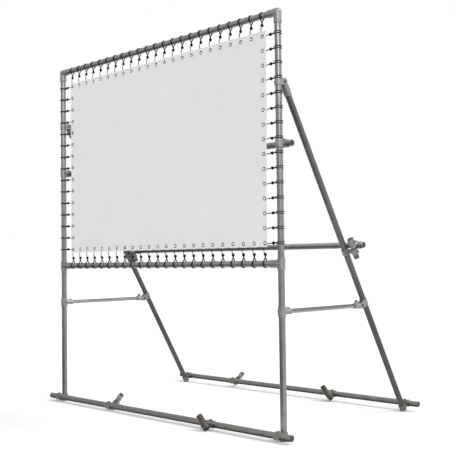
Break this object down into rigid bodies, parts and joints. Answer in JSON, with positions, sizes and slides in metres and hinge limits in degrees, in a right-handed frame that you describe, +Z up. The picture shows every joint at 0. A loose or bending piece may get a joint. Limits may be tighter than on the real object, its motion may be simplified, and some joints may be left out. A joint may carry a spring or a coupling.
{
  "type": "pitch back rebounder",
  "caption": "Free-standing round-tube frame on two ground rails, with rear braces and side ties, and an elastic rebound sheet laced into its upper panel by ball bungees.",
  "frame": {"origin": "centre of the bounding box's footprint, on the floor", "axes": "+Z up, -Y towards the player, +X to the player's right as they face the sheet"},
  "size_m": [2.975, 1.859, 3.1282],
  "materials": {
    "galvanised_tube": "glossy",
    "tie_tube": "glossy",
    "cast_fitting": "satin",
    "screw_steel": "satin",
    "sheet_fabric": "matte",
    "eyelet_metal": "satin",
    "elastic_cord": "matte",
    "ball_plastic": "satin"
  },
  "bodies": {
    "frame": {"post_left": "galvanised_tube", "post_right": "galvanised_tube", "top_rail": "galvanised_tube", "lower_rail": "galvanised_tube", "elbow_left": "cast_fitting", "elbow_right": "cast_fitting", "lower_tee_left": "cast_fitting", "lower_tee_right": "cast_fitting", "front_ground_rail": "galvanised_tube", "rear_ground_rail": "galvanised_tube", "base_crossover_left": "cast_fitting", "base_crossover_right": "cast_fitting", "back_tube": "galvanised_tube", "back_crossover_left": "cast_fitting", "back_crossover_right": "cast_fitting", "brace_left": "galvanised_tube", "brace_right": "galvanised_tube", "brace_collar_left": "cast_fitting", "brace_collar_right": "cast_fitting", "brace_socket_left": "cast_fitting", "brace_socket_right": "cast_fitting", "tie_left": "tie_tube", "tie_right": "tie_tube", "tie_tee_left": "cast_fitting", "tie_tee_right": "cast_fitting", "tie_socket_left": "cast_fitting", "tie_socket_right": "cast_fitting", "tie_collar_left": "cast_fitting", "tie_collar_right": "cast_fitting", "foot_crossover_left": "cast_fitting", "foot_crossover_right": "cast_fitting", "rear_cross_tube": "galvanised_tube", "link_left": "cast_fitting", "link_right": "cast_fitting", "stub_left": "galvanised_tube", "stub_right": "galvanised_tube", "stub_crossover_left": "cast_fitting", "stub_crossover_right": "cast_fitting", "swivel_bolts": "screw_steel", "set_screws": "screw_steel", "rail_clamp_front_left": "cast_fitting", "rail_clamp_front_right": "cast_fitting", "rail_clamp_rear_left": "cast_fitting", "rail_clamp_rear_right": "cast_fitting", "bungee_loops": "elastic_cord", "bungee_balls": "ball_plastic", "bungee_strands": "elastic_cord"},
    "sheet": {"sheet": "sheet_fabric", "eyelets": "eyelet_metal"},
    "anchor_front_left": {"sleeve_clamp_front_left": "cast_fitting", "anchor_sleeve_front_left": "galvanised_tube"},
    "anchor_front_right": {"sleeve_clamp_front_right": "cast_fitting", "anchor_sleeve_front_right": "galvanised_tube"},
    "anchor_rear_left": {"sleeve_clamp_rear_left": "cast_fitting", "anchor_sleeve_rear_left": "galvanised_tube"},
    "anchor_rear_right": {"sleeve_clamp_rear_right": "cast_fitting", "anchor_sleeve_rear_right": "galvanised_tube"}
  },
  "joints": [
    {"name": "anchor_front_left_swivel", "type": "hinge", "parent": "frame", "child": "anchor_front_left", "pos_m": [-0.6095, -0.76303, 0.044], "axis": [0, 1, 0], "range_deg": [-90, 40]},
    {"name": "anchor_front_right_swivel", "type": "hinge", "parent": "frame", "child": "anchor_front_right", "pos_m": [0.6545, -0.89103, 0.044], "axis": [0, 1, 0], "range_deg": [-40, 90]},
    {"name": "anchor_rear_left_swivel", "type": "hinge", "parent": "frame", "child": "anchor_rear_left", "pos_m": [-0.7015, 0.89103, 0.06462], "axis": [0, 1, 0], "range_deg": [-90, 40]},
    {"name": "anchor_rear_right_swivel", "type": "hinge", "parent": "frame", "child": "anchor_rear_right", "pos_m": [0.5625, 0.76303, 0.06462], "axis": [0, 1, 0], "range_deg": [-40, 90]},
    {"name": "sheet_rebound", "type": "slide", "parent": "frame", "child": "sheet", "axis": [0, 1, 0], "range_m": [-0.06, 0.03], "stiffness_N_per_m": 4000, "deforming": ["bungee_strands"]}
  ]
}
